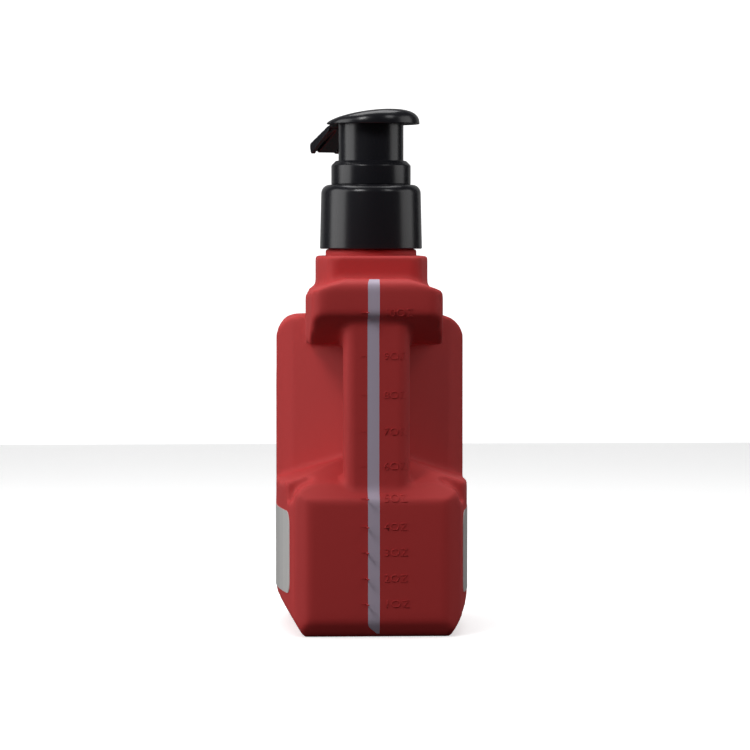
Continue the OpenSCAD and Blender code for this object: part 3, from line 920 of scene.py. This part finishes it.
class JUG_OT_jug(bpy.types.Operator):
    """Models the jug with its view stripe."""

    bl_idname = "pumpjug.jug"
    bl_label = "Jug"

    def execute(self, context):
        sizes = context.scene.jug_sizes
        form, jug = make_jug()
        z0 = form.base_top - 2
        collar = turned("neck", rounded([
            (form.neck_r - 1.2, z0 - 2, 0), (form.bead_r, z0 - 2, 0), (form.bead_r, form.base_top + 1.9, 0.7),
            (form.neck_r, form.base_top + 1.9, 0.3), (form.neck_r, NECK_TOP, 0.4),
            (form.neck_r - 1.2, NECK_TOP, 0.4),
        ], 5))
        bore_r = form.neck_r - 1.2
        bore = turned("bore", [(0, z0 - 8), (bore_r, z0 - 8), (bore_r, NECK_TOP + 4), (0, NECK_TOP + 4)])
        combine(jug, bore, "DIFFERENCE")
        combine(jug, collar, "UNION")
        right, left = sizes.stripe_edge / MM, (sizes.stripe_edge - sizes.stripe_width) / MM
        outline = rounded([
            (right, 1, 0), (right, form.tier_top + 0.4, 0.3), (left, form.tier_top, 2.4), (left, 3.2, 2.4),
            (right - 0.8, 1, 0),
        ])
        reach = form.handle_front + sizes.wall / MM + 0.1
        zone = prism("zone", outline, "Y", FRONT - 6, reach)
        crown = prism("crown", outline, "Y", FRONT - 6, reach + 2.2)
        high = [
            (left - 4, form.top + 6), (right + 4, form.top + 6), (right + 4, NECK_TOP), (left - 4, NECK_TOP),
        ]
        combine(crown, prism("high", high, "Y", FRONT - 8, reach + 6), "INTERSECT")
        combine(zone, crown, "UNION")
        stripe = copy_of(jug, "view_stripe_inlay")
        combine(stripe, copy_of(zone, "zone_again"), "INTERSECT")
        combine(jug, zone, "DIFFERENCE")
        jug.name = "jug_moulding"
        smooth(jug, 50)
        smooth(stripe, 50)
        finished(jug, "jug", "red_plastic", finishes()["red_plastic"], "bottle")
        finished(stripe, "jug", "clear_stripe", finishes()["clear_stripe"], "view_stripe")
        return {"FINISHED"}


class JUG_OT_marks(bpy.types.Operator):
    """Adds the raised volume figures and their lines."""

    bl_idname = "pumpjug.marks"
    bl_label = "Volume marks"

    def execute(self, context):
        s, jug_sizes = context.scene.mark_sizes, context.scene.jug_sizes
        jug = bpy.data.objects["jug_moulding"]
        tick_right = (jug_sizes.stripe_edge - jug_sizes.stripe_width) / MM
        marks = []
        for count, z in enumerate(MARK_HEIGHTS, 1):
            figures = raised_text(f"{count}OZ", s)
            figures.location = (s.left, (FRONT - 4) * MM, z * MM - s.height / 2)
            put_in_mesh(figures)
            tick_left, half = tick_right - s.tick / MM, 0.12
            corners = ((tick_left, -half), (tick_right, -half), (tick_right, half), (tick_left, half))
            tick = drawn("tick", [(x, FRONT - 4, z + rise) for x, rise in corners])
            bpy.ops.mesh.edge_face_add()
            bpy.ops.mesh.subdivide(number_cuts=3)
            object_mode()
            marks += [figures, tick]
        pick(*marks)
        bpy.ops.object.join()
        raised = context.object
        raised.name = "volume_marks"
        modify(
            raised, "SHRINKWRAP", target=jug, wrap_method="PROJECT", use_project_y=True,
            use_positive_direction=True, use_negative_direction=False, project_limit=30 * MM,
        )
        modify(raised, "SOLIDIFY", thickness=s.relief * 2, offset=0)
        tidy_mesh(raised)
        finished(raised, "jug", "red_plastic", finishes()["red_plastic"])
        return {"FINISHED"}


def raised_text(words, s):
    """Flat figures that stand upright and face the front, as a mesh."""
    object_mode()
    bpy.ops.object.text_add()
    text = bpy.context.object
    text.data.body = words
    text.data.resolution_u = 3
    text.data.size = s.height / CAP_SHARE
    text.data.space_character = 1.02
    text.data.offset = -0.012 * s.height / CAP_SHARE
    bpy.ops.object.convert(target="MESH")
    text = bpy.context.object
    text.scale.x = (len(words) - (len(words) > 3) * 0.5) * s.width / text.dimensions.x
    text.rotation_euler.x = math.pi / 2
    put_in_mesh(text)
    return text


class JUG_OT_pump(bpy.types.Operator):
    """Models the closure, the lock ring and the screw threads on the neck and in the closure."""

    bl_idname = "pumpjug.pump"
    bl_label = "Closure and lock ring"

    def execute(self, context):
        s = context.scene.pump_sizes
        black = finishes()["black_plastic"]
        low, high, throat = edge("closure", 0, 2), edge("closure", 1, 2), s.throat / MM
        out = edge("closure", 1, 0) - NECK.x
        inner, panel = out - s.closure_wall / MM, high - s.closure_top / MM
        closure = turned("closure_moulding", rounded([
            (throat + 0.25, panel, 0), (inner, panel, 0.3), (inner, low, 0.2), (out, low, 0.35),
            (out - 0.45, high, s.closure_edge / MM), (throat + 0.25, high, 0.25),
        ], 10), 128)
        smooth(closure, 40)
        finished(closure, "collar", "black_plastic", black, "closure")
        low, high = edge("lock_ring", 0, 2), edge("lock_ring", 1, 2)
        out = edge("lock_ring", 1, 0) - NECK.x
        well, bore, chamfer = s.skirt / MM + 0.15, s.stem / MM + 0.05, s.ring_chamfer / MM
        shelf = edge("closure", 1, 2) + 0.05
        ring = turned("lock_ring_moulding", rounded([
            (bore, low, 0.1), (throat, low, 0.2), (throat, shelf, 0), (out, shelf, 0.25),
            (out, high - chamfer, 0.7), (out - chamfer, high, 0.5), (well, high, 0.2),
            (well, low + 1, 0.2), (bore + 1, low + 1, 0.2),
            (bore + 1, low + 6.2, 0.2), (bore, low + 6.2, 0.2),
        ], 6), 128)
        smooth(ring, 40)
        finished(ring, "pump_base", "black_plastic", black, "lock_ring")
        neck_r, start = edge("pump_housing", 1, 0) - NECK.x, edge("closure", 0, 2) + 3
        thread = screw_ridge("neck_thread", neck_r, inner - 0.25, start)
        smooth(thread, 40)
        finished(thread, "jug", "red_plastic", finishes()["red_plastic"])
        grip = screw_ridge("closure_thread", inner, neck_r + 0.15, start + SCREW_LEAD / 2)
        smooth(grip, 40)
        finished(grip, "collar", "black_plastic", black)
        return {"FINISHED"}


class JUG_OT_spring(bpy.types.Operator):
    """Models the return spring from its packed part."""

    bl_idname = "pumpjug.spring"
    bl_label = "Return spring"

    def execute(self, context):
        spring = copy_of(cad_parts["return_spring"], "spring_wire")
        put_in_mesh(spring)
        tidy_mesh(spring)
        smooth(spring, 60)
        finished(spring, "pump_base", "steel", finishes()["steel"], "return_spring")
        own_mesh(spring)
        return {"FINISHED"}


class JUG_OT_actuator(bpy.types.Operator):
    """Models the actuator with its finger pad and spout."""

    bl_idname = "pumpjug.actuator"
    bl_label = "Actuator"

    def execute(self, context):
        s = context.scene.pump_sizes
        head = HeadForm().head()
        modify(head, "REMESH", mode="VOXEL", voxel_size=s.head_step)
        modify(head, "SMOOTH", factor=0.5, iterations=4)
        head.name = "actuator_moulding"
        head.rotation_euler.z = s.spout_turn
        head.location = (NECK.x * MM, NECK.y * MM, HEAD_TOP * MM)
        put_in_mesh(head)
        smooth(head, 60)
        finished(head, "head", "black_plastic", finishes()["black_plastic"], "actuator")
        return {"FINISHED"}


class JUG_OT_carried(bpy.types.Operator):
    """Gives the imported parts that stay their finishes."""

    bl_idname = "pumpjug.carried"
    bl_label = "Packed parts"

    def execute(self, context):
        made = finishes()
        for name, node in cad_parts.items():
            slot = SLOTS[name]
            node.data.materials.clear()
            node.data.materials.append(made[slot])
        return {"FINISHED"}


SLOTS = {
    "bottle": "red_plastic",
    "view_stripe": "clear_stripe",
    "left_label": "label_film",
    "right_label": "label_film",
    "closure": "black_plastic",
    "neck_gasket": "gasket_foam",
    "lock_ring": "black_plastic",
    "pump_housing": "natural_plastic",
    "ball_retainer": "natural_plastic",
    "inlet_ball": "steel",
    "dip_tube": "natural_plastic",
    "return_spring": "steel",
    "piston_seal": "natural_plastic",
    "stem_plug": "natural_plastic",
    "stem": "natural_plastic",
    "actuator": "black_plastic",
}

OPERATORS = (
    JUG_OT_stage, JUG_OT_jug, JUG_OT_marks, JUG_OT_pump, JUG_OT_spring, JUG_OT_actuator, JUG_OT_carried,
)
GROUPS = {
    "jug_sizes": JugSizes,
    "mark_sizes": MarkSizes,
    "pump_sizes": PumpSizes,
    "finish_colours": FinishColours,
    "stage_sizes": StageSizes,
}


class JUG_PT_panel(bpy.types.Panel):
    """Lists the steps that build the jug."""

    bl_label = "Pump jug"
    bl_idname = "JUG_PT_panel"
    bl_space_type = "VIEW_3D"
    bl_region_type = "UI"
    bl_category = "Pump jug"

    def draw(self, context):
        for operator in OPERATORS:
            self.layout.operator(operator.bl_idname)


def register():
    for group in (*GROUPS.values(), *OPERATORS, JUG_PT_panel):
        bpy.utils.register_class(group)
    for name, group in GROUPS.items():
        setattr(bpy.types.Scene, name, PointerProperty(type=group))


def unregister():
    for name in GROUPS:
        delattr(bpy.types.Scene, name)
    for group in (JUG_PT_panel, *reversed(OPERATORS), *GROUPS.values()):
        bpy.utils.unregister_class(group)


def main():
    """Builds everything in order."""
    register()
    for operator in OPERATORS:
        group, name = operator.bl_idname.split(".")
        getattr(getattr(bpy.ops, group), name)()
    object_mode()


if __name__ == "__main__":
    main()
